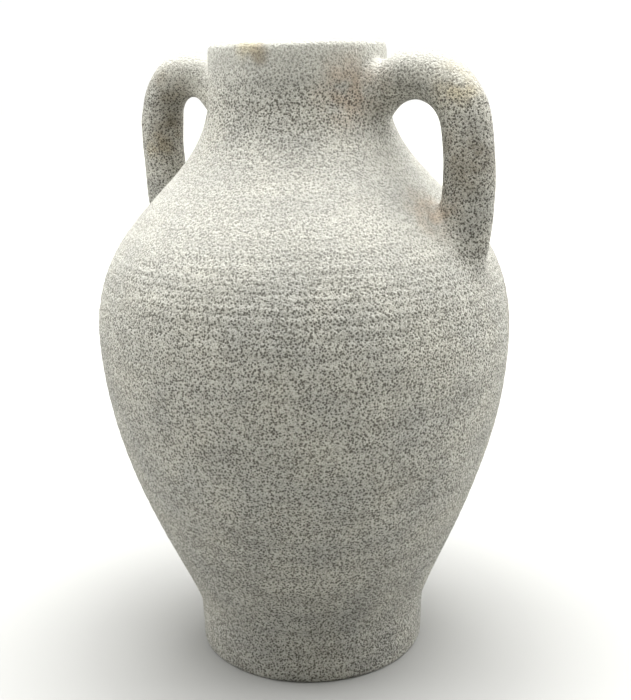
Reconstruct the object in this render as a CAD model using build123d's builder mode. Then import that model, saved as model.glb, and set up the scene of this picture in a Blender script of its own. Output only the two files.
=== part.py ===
from build123d import *
import os

# A two-handled stoneware amphora, 400 mm tall, made the way a potter makes one:
# a floor slab, two thrown wall sections and a thrown neck are joined on bevelled
# edges, two hand-rolled handles are set on the outside, and soft clay is worked
# into the crease round each end of each handle. After firing nothing moves.
#
# Millimetres. +Z is up and the origin is the centre of the foot, on the ground.
# The handles lie along +X and -X.

# The outside form, as radii and heights above the ground
total_height = 400.0
foot_radius = 76.3
foot_top_radius = 77.4
foot_top_height = 28.0
belly_radius = 133.5
belly_height = 220.0
neck_radius = 56.3
neck_height = 369.0
rim_radius = 55.3

# How full each curve is: the part of its rise over which it keeps to its first
# or its last direction
foot_fullness = 0.12
under_belly_fullness = 0.46
over_belly_fullness = 0.56
neck_fullness = 0.39

# The clay
wall_thickness = 7.5
floor_thickness = 10.0
foot_edge_radius = 2.4
rim_outer_radius = 3.2
rim_inner_radius = 3.0

# How many points the line of the inside takes from each curve of the outside
inside_steps = 10

# The recess turned under the foot, which leaves a ring to stand on
foot_ring_width = 16.0
recess_depth = 2.5
recess_slope = 2.5

# The bevelled joints between sections: the height of each on the outside, and how
# far its inner edge stands above its outer one
slab_joint_height = 5.0
wall_joint_height = 244.0
neck_joint_height = 344.0
joint_rise = 5.0
joint_overrun = 1.0

# The handles, as the line through the middle of the roll. Both ends are placed
# from the height at which the shoulder has become the neck.
handle_top_drop = 2.6
handle_foot_drop = 85.0
handle_rise_angle = 44.5
handle_rise_length = 5.0
handle_bend_radius = 32.4
handle_bend_angle = 125.0
handle_root_depth = 22.0

# The oval section of the roll at its two ends: across the handle and through it
handle_top_width = 27.0
handle_top_thickness = 26.4
handle_foot_width = 25.0
handle_foot_thickness = 33.6

# The clay worked into the crease round each end of a handle: how far it spreads on
# the body at each end, how far out from the body it runs up the roll, how deep its
# drawn base is sunk in the body, and how far its thin end is drawn inside the roll
upper_crease_spread = 7.0
lower_crease_spread = 8.0
crease_reach = 14.5
crease_sink = 6.0
crease_inset = 3.0

os.makedirs("parts", exist_ok=True)


# ---- The outline of the vessel -------------------------------------------------
# Both outlines are drawn with the radius along X and the height along Y.

lower_rise = belly_height - foot_top_height
upper_rise = neck_height - belly_height
with BuildLine() as outside:
    foot_line = Line((foot_radius, 0), (foot_top_radius, foot_top_height))
    neck_line = Line((neck_radius, neck_height), (rim_radius, total_height))
    under_belly = Bezier(
        foot_line @ 1,
        foot_line @ 1 + foot_line % 1 * (foot_fullness * lower_rise),
        (belly_radius, belly_height - under_belly_fullness * lower_rise),
        (belly_radius, belly_height),
    )
    over_belly = Bezier(
        (belly_radius, belly_height),
        (belly_radius, belly_height + over_belly_fullness * upper_rise),
        neck_line @ 0 - neck_line % 0 * (neck_fullness * upper_rise),
        neck_line @ 0,
    )


def one_wall_in(curve, place):
    """The point one wall thickness inside a curve of the outside, from 0 to 1 along it."""
    return curve @ place + (curve % place).rotate(Axis.Z, 90) * wall_thickness


with BuildLine() as inside:
    inside_foot_line = Line(one_wall_in(foot_line, 0), one_wall_in(foot_line, 1))
    for curve in (under_belly, over_belly):
        points = [one_wall_in(curve, step / inside_steps) for step in range(inside_steps + 1)]
        Spline(points, tangents=(curve % 0, curve % 1))
    inside_neck_line = Line(one_wall_in(neck_line, 0), one_wall_in(neck_line, 1))
inside_foot = inside_foot_line @ 0
inside_rim = inside_neck_line @ 1


def radius_at(outline, height):
    """Radius at which an outline crosses a height."""
    level = Axis((0, height, 0), (1, 0, 0))
    crossings = []
    for edge in outline.line.edges():
        crossings += edge.find_intersection_points(level)
    return crossings[0].X


# The cut face of the clay, from the middle of the floor to the rim
with BuildSketch() as section:
    with BuildLine():
        add(outside.line)
        Polyline((rim_radius, total_height), (0, total_height), (0, 0), (foot_radius, 0))
    make_face()
    with BuildLine():
        add(inside.line)
        Polyline(
            inside_rim,
            (inside_rim.X, total_height),
            (0, total_height),
            (0, 0),
            (inside_foot.X, 0),
            inside_foot,
        )
    make_face(mode=Mode.SUBTRACT)
    Rectangle(foot_radius - wall_thickness / 2, floor_thickness, align=Align.MIN)

# The form that the outside encloses, as if it were solid clay
with BuildPart() as form:
    with BuildSketch(Plane.XZ):
        with BuildLine():
            add(outside.line)
            Polyline((rim_radius, total_height), (0, total_height), (0, 0), (foot_radius, 0))
        make_face()
    revolve(axis=Axis.Z)


# ---- The thrown sections -------------------------------------------------------
# Each joint is bevelled, so that the upper edge sits over the lower one and cannot
# slide off it. A joint is held as its inner end and its outer end.


def bevel(outer_height, inner_height):
    """The ends of a bevelled joint, run on a little past both faces of the wall."""
    outer = Vector(radius_at(outside, outer_height), outer_height)
    inner = Vector(radius_at(inside, inner_height), inner_height)
    past = (outer - inner).normalized() * joint_overrun
    return inner - past, outer + past


ground = (Vector(foot_radius / 2, 0), Vector(foot_radius, 0))
slab_joint = bevel(slab_joint_height, floor_thickness)
wall_joint = bevel(wall_joint_height, wall_joint_height + joint_rise)
neck_joint = bevel(neck_joint_height, neck_joint_height + joint_rise)
rim = (Vector(rim_radius / 2, total_height), Vector(rim_radius, total_height))
clear_radius = belly_radius + wall_thickness


def clay_between(below, above):
    """The cut face of the clay that lies between two joints."""
    with BuildSketch(Plane.XZ) as clay:
        add(section.sketch)
        with BuildLine():
            Polyline(
                (0, below[0].Y),
                below[0],
                below[1],
                (clear_radius, below[1].Y),
                (clear_radius, above[1].Y),
                above[1],
                above[0],
                (0, above[0].Y),
                close=True,
            )
        make_face(mode=Mode.INTERSECT)
    return clay.sketch


# Floor slab, its upper edge bevelled for the wall and its underside turned hollow
ring_inner_radius = foot_radius - foot_ring_width
with BuildPart() as base_slab:
    add(clay_between(ground, slab_joint))
    revolve(axis=Axis.Z)
    with BuildSketch(Plane.XZ):
        with BuildLine():
            Polyline(
                (0, 0),
                (ring_inner_radius, 0),
                (ring_inner_radius - recess_slope, recess_depth),
                (0, recess_depth),
                close=True,
            )
        make_face()
    revolve(axis=Axis.Z, mode=Mode.SUBTRACT)
    ground_edges = base_slab.edges().group_by(Axis.Z)[0].sort_by(Edge.length)
    fillet(ground_edges[-1], foot_edge_radius)

# Lower wall, thrown from the slab up past the widest place
with BuildPart() as lower_wall:
    add(clay_between(slab_joint, wall_joint))
    revolve(axis=Axis.Z)

# Shoulder, closed in from the belly to the root of the neck
with BuildPart() as shoulder:
    add(clay_between(wall_joint, neck_joint))
    revolve(axis=Axis.Z)

# Neck, with its rim wiped round on both edges
with BuildPart() as neck:
    add(clay_between(neck_joint, rim))
    revolve(axis=Axis.Z)
    outer_rim = neck.edges().group_by(Axis.Z)[-1].sort_by(Edge.length)[-1]
    fillet(outer_rim, rim_outer_radius)
    inner_rim = neck.edges().group_by(Axis.Z)[-1].sort_by(Edge.length)[0]
    fillet(inner_rim, rim_inner_radius)


# ---- The handles ---------------------------------------------------------------
# A handle climbs from the neck, turns over in a tight bend and falls in a long
# curve that lands on the shoulder. The roll is drawn on into the body at both ends,
# and what lies inside the body is cut away, so its ends fit the body's outside.


def shoulder_at(height):
    """Where the shoulder's outside crosses a height, and the direction straight out of it."""
    crossing = over_belly.find_intersection_points(Axis((0, height, 0), (1, 0, 0)))[0]
    along = over_belly.tangent_at(crossing)
    return (crossing.X, crossing.Y), Vector(along.Y, 0, -along.X)


top_root, top_outward = shoulder_at(neck_height - handle_top_drop)
foot_root, foot_outward = shoulder_at(neck_height - handle_foot_drop)
with BuildLine(Plane.XZ) as roll_line:
    climb = PolarLine(top_root, handle_rise_length, handle_rise_angle)
    bend = JernArc(climb @ 1, climb % 1, handle_bend_radius, -handle_bend_angle)
    fall = TangentArc(bend @ 1, foot_root, tangent=bend % 1)
    Line(climb @ 0, climb @ 0 - (climb % 0) * handle_root_depth)
    Line(fall @ 1, fall @ 1 + (fall % 1) * handle_root_depth)
roll_path = roll_line.wires()[0]

with BuildPart() as roll:
    with BuildSketch(Plane(roll_path @ 0, x_dir=(0, 1, 0), z_dir=roll_path % 0)):
        Ellipse(handle_top_width / 2, handle_top_thickness / 2)
    with BuildSketch(Plane(roll_path @ 1, x_dir=(0, 1, 0), z_dir=roll_path % 1)):
        Ellipse(handle_foot_width / 2, handle_foot_thickness / 2)
    sweep(path=roll_path, multisection=True)

with BuildPart() as handle_right:
    add(roll.part)
    add(form.part, mode=Mode.SUBTRACT)

with BuildPart() as handle_left:
    add(handle_right.part, rotation=(0, 0, 180))


# ---- The clay worked into the creases ------------------------------------------
# Each ring of clay spreads on the body round the end of the roll and thins away up
# the roll. It is drawn solid, from an oval sunk in the body to a smaller oval inside
# the roll, and what the body and the roll fill is cut away.


def roll_size(place):
    """Width and thickness of the roll at a place from 0 to 1 along its path."""
    width = handle_top_width + (handle_foot_width - handle_top_width) * place
    thickness = handle_top_thickness + (handle_foot_thickness - handle_top_thickness) * place
    return width, thickness


def crease_ring(root, outward, spread):
    """A ring of clay round the roll where its middle line crosses the body at a root."""
    root_place = roll_path.param_at_point(root)
    leaning = outward.dot(roll_path % root_place)
    climbing = 1 if leaning > 0 else -1
    ring_place = root_place + crease_reach / leaning / roll_path.length
    width, thickness = roll_size(root_place)
    thin_width, thin_thickness = roll_size(ring_place)
    with BuildPart() as ring:
        sunk = Plane(root - outward * crease_sink, x_dir=(0, 1, 0), z_dir=outward)
        with BuildSketch(sunk):
            Ellipse(width / 2 + spread, thickness / abs(leaning) / 2 + spread)
        inside_roll = Plane(
            roll_path @ ring_place, x_dir=(0, 1, 0), z_dir=roll_path % ring_place * climbing
        )
        with BuildSketch(inside_roll):
            Ellipse(thin_width / 2 - crease_inset, thin_thickness / 2 - crease_inset)
        loft()
        add(roll.part, mode=Mode.SUBTRACT)
        add(form.part, mode=Mode.SUBTRACT)
    return ring.part


upper_ring = crease_ring(climb @ 0, top_outward, upper_crease_spread)
lower_ring = crease_ring(fall @ 1, foot_outward, lower_crease_spread)

with BuildPart() as upper_joint_right:
    add(upper_ring)

with BuildPart() as lower_joint_right:
    add(lower_ring)

with BuildPart() as upper_joint_left:
    add(upper_ring, rotation=(0, 0, 180))

with BuildPart() as lower_joint_left:
    add(lower_ring, rotation=(0, 0, 180))


# ---- The finished pieces -------------------------------------------------------

base_slab.part.label = "base_slab"
export_step(base_slab.part, "parts/base_slab.step")

lower_wall.part.label = "lower_wall"
export_step(lower_wall.part, "parts/lower_wall.step")

shoulder.part.label = "shoulder"
export_step(shoulder.part, "parts/shoulder.step")

neck.part.label = "neck"
export_step(neck.part, "parts/neck.step")

handle_right.part.label = "handle_right"
export_step(handle_right.part, "parts/handle_right.step")

handle_left.part.label = "handle_left"
export_step(handle_left.part, "parts/handle_left.step")

upper_joint_right.part.label = "upper_joint_right"
export_step(upper_joint_right.part, "parts/upper_joint_right.step")

upper_joint_left.part.label = "upper_joint_left"
export_step(upper_joint_left.part, "parts/upper_joint_left.step")

lower_joint_right.part.label = "lower_joint_right"
export_step(lower_joint_right.part, "parts/lower_joint_right.step")

lower_joint_left.part.label = "lower_joint_left"
export_step(lower_joint_left.part, "parts/lower_joint_left.step")
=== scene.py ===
import math

import bpy
from mathutils import Matrix, Vector, geometry, noise


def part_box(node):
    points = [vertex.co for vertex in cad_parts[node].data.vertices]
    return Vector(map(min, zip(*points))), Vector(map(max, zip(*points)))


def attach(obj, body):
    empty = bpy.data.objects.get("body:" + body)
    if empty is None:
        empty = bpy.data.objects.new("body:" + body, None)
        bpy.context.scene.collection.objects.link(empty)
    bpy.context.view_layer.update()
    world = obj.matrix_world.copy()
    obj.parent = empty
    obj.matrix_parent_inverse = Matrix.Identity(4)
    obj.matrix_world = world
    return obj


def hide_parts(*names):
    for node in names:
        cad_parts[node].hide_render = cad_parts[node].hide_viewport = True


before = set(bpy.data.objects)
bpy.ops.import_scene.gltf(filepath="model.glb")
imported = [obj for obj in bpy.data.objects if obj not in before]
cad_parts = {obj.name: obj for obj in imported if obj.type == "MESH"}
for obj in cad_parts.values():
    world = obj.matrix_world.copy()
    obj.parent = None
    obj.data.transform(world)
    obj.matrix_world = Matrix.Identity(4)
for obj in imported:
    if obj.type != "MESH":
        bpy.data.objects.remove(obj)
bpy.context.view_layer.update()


# ---- The floor slab --------------------------------------------------------------
# The bottom of the vessel: a thick disc of coarse stoneware clay, cut to the foot,
# bevelled round its top for the wall and turned hollow underneath. Every thrown
# piece shares its outline with the vessel, so the outline is worked out here.

total_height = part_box("neck")[1][2]
belly_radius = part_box("lower_wall")[1][0]
foot_radius = 0.0763
foot_top_radius = 0.0774
foot_top_height = 0.028
belly_height = 0.220
neck_radius = 0.0563
neck_height = 0.369
rim_radius = 0.0553
foot_fullness = 0.12
under_belly_fullness = 0.46
over_belly_fullness = 0.56
neck_fullness = 0.39
wall_thickness = 0.0075
floor_thickness = 0.010
slab_joint_height = 0.005

# Points are 1.2 mm apart up the outside and three times that down the inside
outside_step = 0.0012
inside_step = 0.0036


def rise(start, end):
    """A straight stretch of the outline, as fine as the rest of it."""
    steps = math.ceil((end - start).length / outside_step)
    return [start.lerp(end, step / steps) for step in range(steps + 1)]


def swell(start, first_pull, last_pull, end):
    """A curved stretch of the outline, from its ends and its two pulls."""
    steps = math.ceil((end - start).length / outside_step)
    return geometry.interpolate_bezier(start, first_pull, last_pull, end, steps + 1)


foot = Vector((foot_radius, 0, 0))
foot_top = Vector((foot_top_radius, 0, foot_top_height))
belly = Vector((belly_radius, 0, belly_height))
neck_root = Vector((neck_radius, 0, neck_height))
rim = Vector((rim_radius, 0, total_height))
lower_rise = belly_height - foot_top_height
upper_rise = neck_height - belly_height
outline = rise(foot, foot_top)
outline += swell(
    foot_top,
    foot_top + (foot_top - foot).normalized() * foot_fullness * lower_rise,
    belly - Vector((0, 0, under_belly_fullness * lower_rise)),
    belly,
)[1:]
outline += swell(
    belly,
    belly + Vector((0, 0, over_belly_fullness * upper_rise)),
    neck_root - (rim - neck_root).normalized() * neck_fullness * upper_rise,
    neck_root,
)[1:]
outline += rise(neck_root, rim)[1:]


def outward(index):
    """The direction straight out of the clay at one point of the outline."""
    before = outline[max(index - 1, 0)]
    after = outline[min(index + 1, len(outline) - 1)]
    along = (after - before).normalized()
    return Vector((along.z, 0, -along.x))


inner_line = [point - outward(index) * wall_thickness for index, point in enumerate(outline)]


def crossing(line, height):
    """The point at which an outline passes a height."""
    for low, high in zip(line, line[1:]):
        if low.z <= height <= high.z:
            return low.lerp(high, (height - low.z) / (high.z - low.z))
    return line[0] if height < line[0].z else line[-1]


def between(line, low, high, gap):
    """The points of an outline between two heights, its own points thinned to a gap."""
    points = [crossing(line, low)]
    for point in line:
        if low < point.z < high and (point - points[-1]).length >= gap:
            points.append(point.copy())
    top = crossing(line, high)
    if len(points) > 1 and (top - points[-1]).length < gap / 2:
        points.pop()
    return points + [top]


# Finger marks of the throwing: shallow rings that are never quite evenly spaced
mark_spacing = 0.0074
mark_depth = 0.00010
strong_mark_depth = 0.00012
strong_mark_height = 0.250
strong_mark_reach = 0.022
unmarked_foot = 0.03


def finger_mark(height):
    """How far the throwing rings push the outside in or out at a height."""
    drift = noise.noise(Vector((0.3, 0.7, height * 38))) * 1.6
    wave = math.sin((height / mark_spacing + drift) * math.tau)
    wave += 0.5 * noise.noise(Vector((5.1, 1.9, height * 260)))
    strong = math.exp(-(((height - strong_mark_height) / strong_mark_reach) ** 2))
    swing = 0.55 + 0.9 * abs(noise.noise(Vector((8.2, 3.3, height * 21))))
    fade = min(1, height / unmarked_foot)
    return wave * fade * (mark_depth * swing + strong_mark_depth * strong)


def clear_selection():
    """Nothing is selected when a new piece is begun."""
    if bpy.context.object and bpy.context.object.mode != "OBJECT":
        bpy.ops.object.mode_set(mode="OBJECT")
    bpy.ops.object.select_all(action="DESELECT")


spin_steps = 256


def turned(name, section):
    """A piece turned on the wheel: its closed section, carried once round the axis."""
    clear_selection()
    bpy.ops.mesh.primitive_circle_add(vertices=len(section))
    piece = bpy.context.object
    piece.name = name
    piece.data.name = name
    for vertex, point in zip(piece.data.vertices, section):
        vertex.co = point
    on_axis = [index for index, point in enumerate(section) if point.x < 1e-6]
    for edge in piece.data.edges:
        edge.select = len(on_axis) == 2 and set(edge.vertices) == set(on_axis)
    for vertex in piece.data.vertices:
        vertex.select = vertex.index in on_axis
    bpy.ops.object.mode_set(mode="EDIT")
    bpy.context.tool_settings.mesh_select_mode = (False, True, False)
    if len(on_axis) == 2:
        bpy.ops.mesh.delete(type="EDGE")
    bpy.ops.mesh.select_all(action="SELECT")
    bpy.ops.mesh.spin(steps=spin_steps, angle=math.tau, center=(0, 0, 0), axis=(0, 0, 1))
    bpy.ops.mesh.select_all(action="SELECT")
    bpy.ops.mesh.remove_doubles(threshold=0.00001)
    bpy.ops.mesh.normals_make_consistent(inside=False)
    bpy.ops.object.mode_set(mode="OBJECT")
    return piece


# The clay moves a little in the hand and in the kiln: every piece is pushed sideways
# by the same slow unevenness, so that neighbours still meet, and by a finer one
hand_wobble = (
    ("slow_x", "X", 0.085, 0.0018),
    ("slow_y", "Y", 0.074, 0.0018),
    ("fine_x", "X", 0.013, 0.00025),
    ("fine_y", "Y", 0.0142, 0.00025),
)


def fired(piece):
    """The unevenness of hand and kiln, then smooth faces with their real edges kept."""
    clear_selection()
    piece.select_set(True)
    bpy.context.view_layer.objects.active = piece
    for name, way, size, amount in hand_wobble:
        texture = bpy.data.textures.get(name) or bpy.data.textures.new(name, "CLOUDS")
        texture.noise_scale = size
        texture.noise_basis = "IMPROVED_PERLIN" if way == "X" else "ORIGINAL_PERLIN"
        texture.noise_depth = 1
        push = piece.modifiers.new(name, "DISPLACE")
        push.texture = texture
        push.texture_coords = "LOCAL"
        push.direction = way
        push.space = "LOCAL"
        push.mid_level = 0.5
        push.strength = amount
        bpy.ops.object.modifier_apply(modifier=name)
    bpy.ops.object.shade_smooth_by_angle(angle=math.radians(32))
    return piece


# Where iron has stained the clay, and where shade is painted on the handles: a place, how far the
# mark reaches, its tint and strength
pink_stain = (1.0, 0.83, 0.71, 1)
ochre_stain = (1.0, 0.86, 0.58, 1)
# Dark tint: used for a dark iron spot by the rim and for painted shade on the handles
dark_stain_and_painted_shade = (0.62, 0.56, 0.48, 1)
stains_and_painted_shade = (
    ((0.052, -0.026, 0.372), 0.030, pink_stain, 0.75),
    ((-0.052, 0.026, 0.372), 0.030, pink_stain, 0.60),
    ((0.098, -0.012, 0.300), 0.026, pink_stain, 0.70),
    ((-0.098, 0.012, 0.300), 0.026, ochre_stain, 0.60),
    ((0.113, -0.006, 0.374), 0.020, ochre_stain, 0.60),
    # Painted shade: the shade in a dent on the outer face of the right handle
    ((0.121, -0.013, 0.332), 0.030, dark_stain_and_painted_shade, 0.75),
    # Painted shade: the shade under the bend, on the inside of the left handle
    ((-0.094, -0.006, 0.372), 0.024, dark_stain_and_painted_shade, 0.85),
    ((-0.096, -0.006, 0.345), 0.024, dark_stain_and_painted_shade, 0.90),
    ((-0.107, -0.012, 0.334), 0.013, ochre_stain, 0.90),
    ((0.002, -0.056, 0.400), 0.014, ochre_stain, 0.60),
    ((0.009, -0.056, 0.393), 0.010, dark_stain_and_painted_shade, 0.95),
    ((0.020, 0.052, 0.393), 0.022, ochre_stain, 0.60),
)


# The fired clay is pale, warm grey and dry, and packed with dark iron grains and sand.
# Each of these is a number of grains to the metre.
fine_sand = 800
proud_sand = 480
coarse_grains = 620
small_grains = 1050

# Painted light: the rim and the tops of the handles are painted paler, from one height up to the
# other, for the light that falls on them from above
painted_light_from = 0.364
painted_light_to = 0.397
painted_light_share = 0.46


def stoneware(name, pale, middle, dark, roughness, painted_top_light):
    """Coarse speckled stoneware: its pale clay, its middle, its grains, how dry, and how strongly
    what faces up is painted paler as painted top light.
    """
    material = bpy.data.materials.new(name)
    material.use_nodes = True
    nodes = material.node_tree.nodes
    links = material.node_tree.links
    shader = nodes["Principled BSDF"]
    place = nodes.new("ShaderNodeTexCoord").outputs["Object"]

    def cloud(scale, detail=2.0, stretch=None, shift=0.0, rough=0.5):
        """A noise of a size, in grains per metre, drawn out or moved if asked."""
        texture = nodes.new("ShaderNodeTexNoise")
        texture.inputs["Scale"].default_value = scale
        texture.inputs["Detail"].default_value = detail
        texture.inputs["Roughness"].default_value = rough
        mapping = nodes.new("ShaderNodeMapping")
        mapping.inputs["Location"].default_value = (shift, shift * 0.7, shift * 1.3)
        mapping.inputs["Scale"].default_value = stretch or (1, 1, 1)
        links.new(place, mapping.inputs["Vector"])
        links.new(mapping.outputs["Vector"], texture.inputs["Vector"])
        return texture.outputs["Fac"]

    def graded(value, *stops):
        """A value read through a scale of (place, colour or grey) stops."""
        ramp = nodes.new("ShaderNodeValToRGB")
        scale = ramp.color_ramp
        while len(scale.elements) < len(stops):
            scale.elements.new(0.5)
        for element, (at, colour) in zip(scale.elements, stops):
            element.position = at
            element.color = colour if isinstance(colour, tuple) else (colour, colour, colour, 1)
        links.new(value, ramp.inputs["Fac"])
        return ramp.outputs["Color"]

    def blended(amount, first, second, way="MIX"):
        """Two colours mixed by an amount."""
        mix = nodes.new("ShaderNodeMix")
        mix.data_type = "RGBA"
        mix.blend_type = way
        sockets = (mix.inputs[0], mix.inputs[6], mix.inputs[7])
        for socket, value in zip(sockets, (amount, first, second)):
            if isinstance(value, bpy.types.NodeSocket):
                links.new(value, socket)
            else:
                socket.default_value = value
        return mix.outputs[2]

    def worked(way, first, second):
        """Two values put together by one step of arithmetic."""
        step = nodes.new("ShaderNodeMath")
        step.operation = way
        for socket, value in zip(step.inputs, (first, second)):
            if isinstance(value, bpy.types.NodeSocket):
                links.new(value, socket)
            else:
                socket.default_value = value
        return step.outputs[0]

    def grains(scale, reach, shift):
        """Grains strewn through the clay: their distance field, and where they lie."""
        cells = nodes.new("ShaderNodeTexVoronoi")
        cells.inputs["Scale"].default_value = scale
        mapping = nodes.new("ShaderNodeMapping")
        mapping.inputs["Location"].default_value = (shift, shift * 1.7, shift * 0.6)
        links.new(place, mapping.inputs["Vector"])
        links.new(mapping.outputs["Vector"], cells.inputs["Vector"])
        distance = cells.outputs["Distance"]
        return distance, graded(distance, (reach * 0.70, 1.0), (reach, 0.0))

    def gradual(value, start, full, amount):
        """How far a value has come from a start to where it tells in full, times an amount."""
        slope = nodes.new("ShaderNodeMapRange")
        slope.interpolation_type = "SMOOTHSTEP"
        slope.inputs["From Min"].default_value = start
        slope.inputs["From Max"].default_value = full
        slope.inputs["To Max"].default_value = amount
        links.new(value, slope.inputs["Value"])
        return slope.outputs["Result"]

    def upright(direction):
        """The upward share of a direction or a place."""
        split = nodes.new("ShaderNodeSeparateXYZ")
        links.new(direction, split.inputs["Vector"])
        return split.outputs["Z"]

    # The ground of the clay, packed with fine sand: middling to pale
    fine = cloud(fine_sand, 2.5, rough=0.68)
    density = cloud(60, 2.0, shift=3.1)
    leaning = worked("MULTIPLY", worked("SUBTRACT", density, 0.5), 0.16)
    ground = worked("ADD", fine, leaning)
    clay = graded(ground, (0.29, dark), (0.43, middle), (0.56, pale), (0.70, pale))
    # Iron grains that have bled dark: coarse ones, and small ones between them
    more = worked("MULTIPLY", worked("SUBTRACT", density, 0.5), 0.30)
    coarse_away, coarse = grains(coarse_grains, 0.45, 1.3)
    small_away, small = grains(small_grains, 0.36, 6.1)
    shown = worked("MULTIPLY", coarse, worked("ADD", 0.98, more))
    clay = blended(shown, clay, dark)
    clay = blended(worked("MULTIPLY", small, 0.75), clay, dark)
    # Slow changes: warmer and cooler clouds, and thin level bands left by the throwing
    cool = (0.88, 0.885, 0.885, 1)
    warm = (1.06, 1.05, 1.02, 1)
    cloudy = graded(cloud(30, 3.0, shift=1.9, rough=0.6), (0.34, cool), (0.64, warm))
    clay = blended(1.0, clay, cloudy, "MULTIPLY")
    bands = graded(cloud(1.0, 3.0, (9, 9, 170), shift=4.4), (0.32, 0.88), (0.66, 1.06))
    clay = blended(1.0, clay, bands, "MULTIPLY")
    # Painted light: what faces up is painted paler, as if lit from above, which also softens the
    # grains there
    facing = nodes.new("ShaderNodeNewGeometry").outputs["Normal"]
    # Painted light: paler by how far the surface faces up
    clay = blended(gradual(upright(facing), 0.20, 0.85, painted_top_light), clay, pale)
    # Painted light: everything between the two heights, the rim and the handle tops, painted
    # paler
    clay = blended(gradual(upright(place), painted_light_from, painted_light_to, painted_light_share), clay, pale)
    # Iron stains, where the clay was wetted and handled, and the painted shade on the handles
    for number, (spot, reach, tint, strength) in enumerate(stains_and_painted_shade):
        away = nodes.new("ShaderNodeVectorMath")
        away.operation = "DISTANCE"
        away.inputs[1].default_value = spot
        links.new(place, away.inputs[0])
        near = gradual(away.outputs["Value"], reach, reach * 0.2, strength)
        patch = graded(cloud(75, 2.0, shift=0.9 + number), (0.36, 0.15), (0.60, 1.0))
        stained_and_shaded = blended(1.0, clay, tint, "MULTIPLY")
        clay = blended(worked("MULTIPLY", near, patch), clay, stained_and_shaded)
    links.new(clay, shader.inputs["Base Color"])

    gloss = graded(cloud(300, 2.0, shift=2.2), (0.3, roughness - 0.10), (0.7, roughness + 0.10))
    links.new(gloss, shader.inputs["Roughness"])
    shader.inputs["Specular IOR Level"].default_value = 0.30

    # The skin: sand that stands proud under a dry surface, and open pores
    sand = cloud(proud_sand, 3.0, shift=5.5, rough=0.65)
    skin = worked("ADD", sand, worked("MULTIPLY", fine, 0.6))
    skin = worked("ADD", skin, worked("MULTIPLY", coarse_away, 0.30))
    skin = worked("ADD", skin, worked("MULTIPLY", small_away, 0.12))
    relief = nodes.new("ShaderNodeBump")
    relief.inputs["Strength"].default_value = 1.0
    relief.inputs["Distance"].default_value = 0.0015
    links.new(skin, relief.inputs["Height"])
    links.new(relief.outputs["Normal"], shader.inputs["Normal"])
    return material


body_clay = stoneware(
    "body_clay",
    pale=(0.445, 0.441, 0.400, 1),
    middle=(0.338, 0.334, 0.297, 1),
    dark=(0.085, 0.080, 0.066, 1),
    roughness=0.78,
    painted_top_light=0.45,
)


def placed(piece, node, finish):
    """A finished piece takes the place of its solid, its material and its seat on the body."""
    piece.data.materials.clear()
    piece.data.materials.append(finish)
    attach(piece, "root")
    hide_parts(node)


def marked(points):
    """Points of the outside with the throwing rings on them."""
    return [Vector((point.x + finger_mark(point.z), 0, point.z)) for point in points]


# The ring that the vessel stands on, its inner edge eased and its outer edge rounded
ring_width = 0.016
ring_inner_radius = foot_radius - ring_width
ring_ease_in = 0.0006
ring_ease_up = 0.0004
recess_depth = 0.0025
foot_edge_radius = 0.0024
foot_edge_steps = 6

# The section of the slab, from the middle of the recess round to the middle of the floor
slab_section = [Vector((0, 0, recess_depth))]
for part in (0.15, 0.3, 0.45, 0.6, 0.75, 0.9, 1.0):
    slab_section.append(Vector((part * (ring_inner_radius - recess_depth), 0, recess_depth)))
slab_section.append(Vector((ring_inner_radius - ring_ease_in, 0, ring_ease_up)))
slab_section.append(Vector((ring_inner_radius, 0, 0)))
for part in (0.33, 0.66):
    reach = ring_inner_radius + part * (ring_width - foot_edge_radius)
    slab_section.append(Vector((reach, 0, 0)))
for step in range(foot_edge_steps + 1):
    turn = step / foot_edge_steps * math.pi / 2
    slab_section.append(Vector((
        foot_radius - foot_edge_radius * (1 - math.sin(turn)),
        0,
        foot_edge_radius * (1 - math.cos(turn)),
    )))
slab_outer = crossing(outline, slab_joint_height)
slab_top = crossing(inner_line, floor_thickness)
slab_section += [slab_outer.lerp(slab_top, part) for part in (0, 0.25, 0.5, 0.75)]
for part in (1, 0.85, 0.7, 0.55, 0.4, 0.25, 0.12, 0):
    slab_section.append(Vector((slab_top.x * part, 0, floor_thickness)))
floor_slab = fired(turned("floor_slab", slab_section))
placed(floor_slab, "base_slab", body_clay)


# ---- The thrown wall sections ----------------------------------------------------
# Lower wall, shoulder and neck are thrown from the same clay, bevelled where they
# meet, and joined wet, so that only the finger marks run on over the joints.

joint_rise = 0.005
wall_joint_height = 0.244
neck_joint_height = 0.344


def thrown_section(low, high, inner_low, inner_high):
    """A closed section of wall: up the outside, over its upper end, down the inside."""
    out = marked(between(outline, low, high, outside_step))
    back = between(inner_line, inner_low, inner_high, inside_step)[::-1]
    over = [out[-1].lerp(back[0], part) for part in (0.33, 0.67)]
    under = [back[-1].lerp(out[0], part) for part in (0.33, 0.67)]
    return out + over + back + under


lower_wall_section = thrown_section(
    slab_joint_height, wall_joint_height, floor_thickness, wall_joint_height + joint_rise
)
lower_wall = fired(turned("lower_wall_thrown", lower_wall_section))
placed(lower_wall, "lower_wall", body_clay)

shoulder_section = thrown_section(
    wall_joint_height,
    neck_joint_height,
    wall_joint_height + joint_rise,
    neck_joint_height + joint_rise,
)
shoulder = fired(turned("shoulder_thrown", shoulder_section))
placed(shoulder, "shoulder", body_clay)

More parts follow.
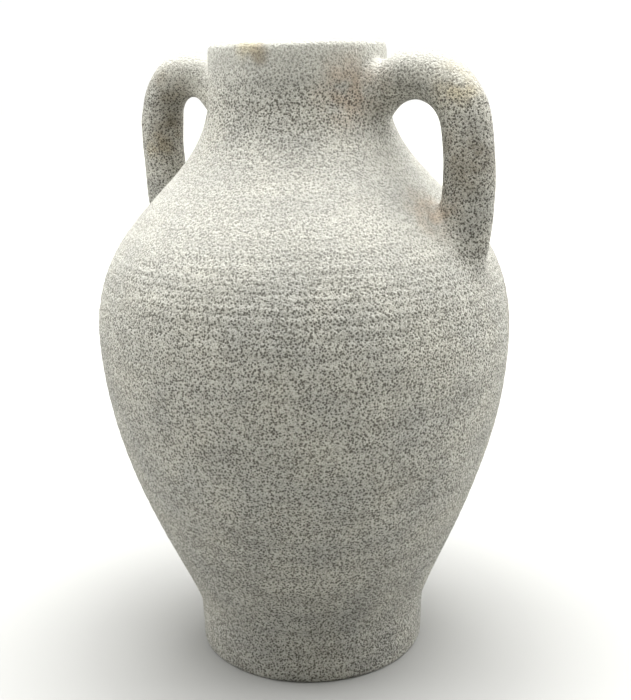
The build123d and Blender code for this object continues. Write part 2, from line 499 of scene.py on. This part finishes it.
# The rim is wiped round with a wet fingertip, a little fuller on the outside
rim_outer_radius = 0.0042
rim_inner_radius = 0.0030
rim_steps = 6
rim_gap = 0.0008
waver_size = 0.028
waver_height = 0.0014
rim_outer = crossing(outline, total_height)
rim_inner = crossing(inner_line, total_height)
lip = []
for step in range(rim_steps + 1):
    turn = step / rim_steps * math.pi / 2
    lip.append(Vector((
        rim_outer.x - rim_outer_radius * (1 - math.cos(turn)),
        0,
        total_height - rim_outer_radius * (1 - math.sin(turn)),
    )))
for step in range(rim_steps + 1):
    turn = step / rim_steps * math.pi / 2
    lip.append(Vector((
        rim_inner.x + rim_inner_radius * (1 - math.sin(turn)),
        0,
        total_height - rim_inner_radius * (1 - math.cos(turn)),
    )))
neck_outside = between(
    outline, neck_joint_height, total_height - rim_outer_radius - rim_gap, outside_step
)
neck_inside = between(
    inner_line,
    neck_joint_height + joint_rise,
    total_height - rim_inner_radius - rim_gap,
    inside_step,
)
neck_section = marked(neck_outside) + lip + neck_inside[::-1]
neck_section += [neck_section[-1].lerp(neck_section[0], part) for part in (0.33, 0.67)]
neck = turned("neck_thrown", neck_section)

# The rim dips and rises a little where it was wiped; the joint below stays as it is
waver = neck.vertex_groups.new(name="rim_waver")
for vertex in neck.data.vertices:
    share = (vertex.co.z - neck_height) / (total_height - neck_height)
    waver.add([vertex.index], min(max(share, 0), 1), "REPLACE")
waver_cloud = bpy.data.textures.new("rim_waver", "CLOUDS")
waver_cloud.noise_scale = waver_size
dip = neck.modifiers.new("rim_waver", "DISPLACE")
dip.texture = waver_cloud
dip.texture_coords = "LOCAL"
dip.direction = "Z"
dip.vertex_group = "rim_waver"
dip.strength = waver_height
bpy.ops.object.modifier_apply(modifier="rim_waver")
neck = fired(neck)
placed(neck, "neck", body_clay)


# ---- The handles -----------------------------------------------------------------
# Two thick rolls of the same clay, rolled by hand and bent over while soft. Each
# starts on the root of the neck, turns over tightly and falls onto the shoulder.

roll_top_width = 0.0270
roll_foot_width = 0.0250
roll_top_thickness = 0.0264
root_depth = 0.022
root_sink = 0.0012
roll_sides = 96
roll_rows = 150
lump_size = 0.030
lump_fade = 0.018

# A line of the roll's skin has left the vessel by these distances from its two roots
clear_of_neck = 0.035
clear_of_shoulder = 0.040
landing_halvings = 30


def heading(angle):
    """The direction at an angle above level, straight out from the vessel."""
    return Vector((math.cos(angle), 0, math.sin(angle)))


class Roll:
    """The line of one roll: a short climb from the neck, a tight bend and a long fall."""

    def __init__(
        self,
        side,
        top_drop,
        foot_drop,
        climb_angle,
        climb_length,
        bend_radius,
        bend_angle,
        foot_thickness,
        lumps,
    ):
        self.side = side
        self.lumps = lumps
        self.foot_thickness = foot_thickness
        self.climb_angle = math.radians(climb_angle)
        self.bend_radius = bend_radius
        start = crossing(outline, neck_height - top_drop)
        self.end = crossing(outline, neck_height - foot_drop)
        self.bend_start = start + heading(self.climb_angle) * climb_length
        self.bend_centre = self.bend_start + heading(self.climb_angle - math.pi / 2) * bend_radius
        self.fall_angle = self.climb_angle - math.radians(bend_angle)
        self.fall_start = self.bend_centre + heading(self.fall_angle + math.pi / 2) * bend_radius
        chord = self.end - self.fall_start
        self.fall_turn = 2 * (math.atan2(chord.z, chord.x) - self.fall_angle)
        self.fall_radius = chord.length / (2 * math.sin(abs(self.fall_turn) / 2))
        self.climb = root_depth + climb_length
        self.bend = bend_radius * math.radians(bend_angle)
        self.fall = self.fall_radius * abs(self.fall_turn)
        self.length = self.climb + self.bend + self.fall + root_depth

    def along(self, distance):
        """The middle of the roll and its heading angle at a distance along it."""
        if distance <= self.climb:
            back = self.climb - distance
            return self.bend_start - heading(self.climb_angle) * back, self.climb_angle
        distance -= self.climb
        if distance <= self.bend:
            angle = self.climb_angle - distance / self.bend_radius
            return self.bend_centre + heading(angle + math.pi / 2) * self.bend_radius, angle
        distance -= self.bend
        if distance <= self.fall:
            turned_by = self.fall_turn * distance / self.fall
            reach = 2 * self.fall_radius * math.sin(abs(turned_by) / 2)
            middle = self.fall_start + heading(self.fall_angle + turned_by / 2) * reach
            return middle, self.fall_angle + turned_by
        angle = self.fall_angle + self.fall_turn
        return self.end + heading(angle) * (distance - self.fall), angle

    def middle(self, distance):
        """The middle of the roll on its own side of the vessel."""
        point, _ = self.along(distance)
        return Vector((point.x * self.side, 0, point.z))

    def skin(self, distance, turn):
        """A point of the roll's skin: a distance along it and a turn round it."""
        middle, angle = self.along(distance)
        share = distance / self.length
        width = roll_top_width + (roll_foot_width - roll_top_width) * share
        thickness = roll_top_thickness + (self.foot_thickness - roll_top_thickness) * share
        out = heading(angle + math.pi / 2) * math.sin(turn) * thickness / 2
        out += Vector((0, math.cos(turn) * width / 2, 0))
        edge = min(distance - self.climb, self.length - root_depth - distance)
        fade = min(max(edge / lump_fade, 0), 1)
        spot = (middle + out) / lump_size
        lump = noise.noise(spot + Vector((3.7 * self.side, 1.1, 5.3)))
        lump += 0.4 * noise.noise(spot * 2.1 + Vector((9.2, 4.4 * self.side, 2.6)))
        point = middle + out + out.normalized() * lump * self.lumps * fade
        return Vector((point.x * self.side, point.y * self.side, point.z))

    def landing(self, turn, at_top):
        """The distance along the roll at which one line of its skin meets the vessel."""
        inside = 0.0 if at_top else self.length
        clear = self.length - root_depth - clear_of_shoulder
        if at_top:
            clear = self.climb + clear_of_neck
        for _ in range(landing_halvings):
            halfway = (inside + clear) / 2
            point = self.skin(halfway, turn)
            if math.hypot(point.x, point.y) > crossing(outline, point.z).x:
                clear = halfway
            else:
                inside = halfway
        return clear


# The left roll came out tighter, slimmer and more uneven than the right one
right_roll = Roll(
    side=1,
    top_drop=0.0026,
    foot_drop=0.085,
    climb_angle=44.5,
    climb_length=0.005,
    bend_radius=0.0324,
    bend_angle=125,
    foot_thickness=0.0336,
    lumps=0.0008,
)
left_roll = Roll(
    side=-1,
    top_drop=0.0035,
    foot_drop=0.0775,
    climb_angle=46,
    climb_length=0.0112,
    bend_radius=0.0264,
    bend_angle=126.5,
    foot_thickness=0.0315,
    lumps=0.0014,
)

handle_clay = stoneware(
    "handle_clay",
    pale=(0.415, 0.409, 0.368, 1),
    middle=(0.305, 0.299, 0.263, 1),
    dark=(0.078, 0.073, 0.060, 1),
    roughness=0.80,
    painted_top_light=0.66,
)


def rolled_handle(name, roll):
    """One handle: a rod of clay, bent over and trimmed to the vessel at both ends."""
    clear_selection()
    bpy.ops.mesh.primitive_cylinder_add(
        vertices=roll_sides, radius=1, depth=1, end_fill_type="NGON"
    )
    rod = bpy.context.object
    rod.name = name
    rod.data.name = name
    bpy.ops.object.mode_set(mode="EDIT")
    bpy.ops.mesh.select_all(action="DESELECT")
    bpy.ops.object.mode_set(mode="OBJECT")
    for edge in rod.data.edges:
        low, high = (rod.data.vertices[index].co.z for index in edge.vertices)
        edge.select = abs(low - high) > 0.5
    bpy.ops.object.mode_set(mode="EDIT")
    bpy.context.tool_settings.mesh_select_mode = (False, True, False)
    bpy.ops.mesh.subdivide(number_cuts=roll_rows)
    bpy.ops.object.mode_set(mode="OBJECT")
    spans = {}
    for vertex in rod.data.vertices:
        turn = math.atan2(vertex.co.y, vertex.co.x) % math.tau
        key = round(turn / math.tau * roll_sides) % roll_sides
        if key not in spans:
            spans[key] = (roll.landing(turn, True), roll.landing(turn, False))
        first, last = spans[key]
        share = vertex.co.z + 0.5
        distance = (first - root_sink) + (last - first + 2 * root_sink) * share
        vertex.co = roll.skin(distance, turn)
    bpy.ops.object.mode_set(mode="EDIT")
    bpy.ops.mesh.select_all(action="SELECT")
    bpy.ops.mesh.normals_make_consistent(inside=False)
    bpy.ops.object.mode_set(mode="OBJECT")
    return fired(rod)


for name, roll, node in (
    ("handle_right_rolled", right_roll, "handle_right"),
    ("handle_left_rolled", left_roll, "handle_left"),
):
    placed(rolled_handle(name, roll), node, handle_clay)


# ---- The clay in the creases -----------------------------------------------------
# A ring of soft clay is worked into the crease round each end of each handle and
# wiped smooth with a finger, from the roll onto the vessel.

ring_sides = 128
wipe_steps = 14
ring_sink = 0.0015

joint_clay = stoneware(
    "joint_clay",
    pale=(0.440, 0.434, 0.392, 1),
    middle=(0.342, 0.336, 0.299, 1),
    dark=(0.105, 0.099, 0.083, 1),
    roughness=0.76,
    painted_top_light=0.48,
)


def on_body(point):
    """The point of the vessel's outside level with a point."""
    reach = math.hypot(point.x, point.y)
    out = crossing(outline, point.z).x
    return Vector((point.x / reach * out, point.y / reach * out, point.z))


def body_outward(point):
    """The direction straight out of the vessel at a point on it."""
    low = crossing(outline, point.z - 0.001)
    high = crossing(outline, point.z + 0.001)
    along = (high - low).normalized()
    level = Vector((point.x, point.y, 0)).normalized()
    return level * along.z - Vector((0, 0, along.x))


def crease_ring(name, roll, at_top, spread, reach):
    """The wiped ring of clay at one end of one handle."""
    clear_selection()
    bpy.ops.mesh.primitive_torus_add(
        major_segments=ring_sides, minor_segments=wipe_steps + 2, major_radius=1, minor_radius=0.2
    )
    ring = bpy.context.object
    ring.name = name
    ring.data.name = name
    way = 1 if at_top else -1
    for index in range(ring_sides):
        turn = index / ring_sides * math.tau
        land = roll.landing(turn, at_top)
        corner = roll.skin(land, turn)
        upper = roll.skin(land + way * reach, turn)
        normal = body_outward(corner)
        away = corner - roll.middle(land)
        away -= normal * away.dot(normal)
        lower = on_body(corner + away.normalized() * spread)
        profile = []
        for step in range(wipe_steps + 1):
            part = step / wipe_steps
            first = upper.lerp(corner, part)
            second = corner.lerp(lower, part)
            profile.append(first.lerp(second, part))
        profile.append(corner - (normal + away.normalized()) * ring_sink)
        for step, point in enumerate(profile):
            ring.data.vertices[index * (wipe_steps + 2) + step].co = point
    bpy.ops.object.mode_set(mode="EDIT")
    bpy.ops.mesh.select_all(action="SELECT")
    bpy.ops.mesh.normals_make_consistent(inside=False)
    bpy.ops.object.mode_set(mode="OBJECT")
    return fired(ring)


# Each ring: how far it spreads on the vessel and how far it runs up the roll
for name, roll, at_top, spread, reach, node in (
    ("crease_upper_right", right_roll, True, 0.0085, 0.013, "upper_joint_right"),
    ("crease_upper_left", left_roll, True, 0.0110, 0.019, "upper_joint_left"),
    ("crease_lower_right", right_roll, False, 0.0095, 0.013, "lower_joint_right"),
    ("crease_lower_left", left_roll, False, 0.0095, 0.013, "lower_joint_left"),
):
    placed(crease_ring(name, roll, at_top, spread, reach), node, joint_clay)


# ---- Floor, light and camera -----------------------------------------------------
# A pale floor that glows, more the further it lies from the vessel, one broad soft light overhead
# with two weak ones at the sides, and a camera a little above the vessel that looks down on it.

clear_selection()
bpy.ops.mesh.primitive_circle_add(vertices=96, radius=9, fill_type="NGON", location=(0, 0, 0))
floor = bpy.context.object
floor.name = "pale_floor"
floor_paint = bpy.data.materials.new("pale_floor")
floor_paint.use_nodes = True
floor_shader = floor_paint.node_tree.nodes["Principled BSDF"]
floor_shader.inputs["Base Color"].default_value = (0.34, 0.34, 0.33, 1)
floor_shader.inputs["Roughness"].default_value = 0.9
floor_shader.inputs["Specular IOR Level"].default_value = 0.1
floor_links = floor_paint.node_tree.links
floor_place = floor_paint.node_tree.nodes.new("ShaderNodeTexCoord")
floor_reach = floor_paint.node_tree.nodes.new("ShaderNodeVectorMath")
floor_reach.operation = "LENGTH"
# Painted light: the floor glows, from none near the vessel to full strength far out, so the far
# floor shows white while the shadow by the foot stays
floor_glow = floor_paint.node_tree.nodes.new("ShaderNodeMapRange")
floor_glow.inputs["From Min"].default_value = 0.15
floor_glow.inputs["From Max"].default_value = 1.30
floor_links.new(floor_place.outputs["Object"], floor_reach.inputs[0])
floor_links.new(floor_reach.outputs["Value"], floor_glow.inputs["Value"])
floor_links.new(floor_glow.outputs["Result"], floor_shader.inputs["Emission Strength"])
floor_shader.inputs["Emission Color"].default_value = (1, 1, 0.95, 1)
floor.data.materials.append(floor_paint)

camera_azimuth = math.radians(33)
world = bpy.context.scene.world or bpy.data.worlds.new("studio")
bpy.context.scene.world = world
world.use_nodes = True
air = world.node_tree
surround = air.nodes["Background"]
whereabouts = air.nodes.new("ShaderNodeTexCoord")
towards = air.nodes.new("ShaderNodeVectorMath")
towards.operation = "DOT_PRODUCT"
towards.inputs[1].default_value = (math.sin(camera_azimuth), -math.cos(camera_azimuth), 0)
dimming = air.nodes.new("ShaderNodeValToRGB")
dimming.color_ramp.elements[0].position = 0.10
dimming.color_ramp.elements[0].color = (1, 1, 0.985, 1)
dimming.color_ramp.elements[1].position = 0.75
dimming.color_ramp.elements[1].color = (0.27, 0.268, 0.24, 1)
air.links.new(whereabouts.outputs["Generated"], towards.inputs[0])
air.links.new(towards.outputs["Value"], dimming.inputs["Fac"])
air.links.new(dimming.outputs["Color"], surround.inputs["Color"])
surround.inputs["Strength"].default_value = 1.02


def soft_light(name, place, aim, width, height, power):
    """A broad soft light that points from a place to an aim."""
    lamp = bpy.data.lights.new(name, "AREA")
    lamp.shape = "RECTANGLE"
    lamp.size = width
    lamp.size_y = height
    lamp.energy = power
    light = bpy.data.objects.new(name, lamp)
    light.location = place
    light.rotation_euler = (Vector(aim) - Vector(place)).to_track_quat("-Z", "Y").to_euler()
    bpy.context.scene.collection.objects.link(light)


soft_light("overhead", (0.0, 0.1, 1.9), (0, 0, 0.2), 1.8, 1.8, 98)
soft_light("left_side", (-1.5, -0.6, 0.6), (0, 0, 0.25), 1.2, 1.0, 17)
soft_light("right_side", (1.0, 1.0, 0.6), (0, 0, 0.25), 1.2, 1.0, 17)

camera_distance = 0.700
camera_height = 0.3893
camera_yaw = 0.00968
camera_pitch = -0.26087
camera_roll = -0.02539
camera_data = bpy.data.cameras.new("camera")
camera_data.lens = 55.97
camera_data.sensor_width = 36
camera_data.clip_start = 0.01
camera = bpy.data.objects.new("camera", camera_data)
bpy.context.scene.collection.objects.link(camera)
aim = (
    Matrix.Rotation(camera_azimuth - camera_yaw, 4, "Z")
    @ Matrix.Rotation(math.pi / 2 + camera_pitch, 4, "X")
    @ Matrix.Rotation(camera_roll, 4, "Z")
)
camera.rotation_euler = aim.to_euler()
camera.location = (
    camera_distance * math.sin(camera_azimuth),
    -camera_distance * math.cos(camera_azimuth),
    camera_height,
)
bpy.context.scene.camera = camera
bpy.context.scene.view_settings.view_transform = "Standard"
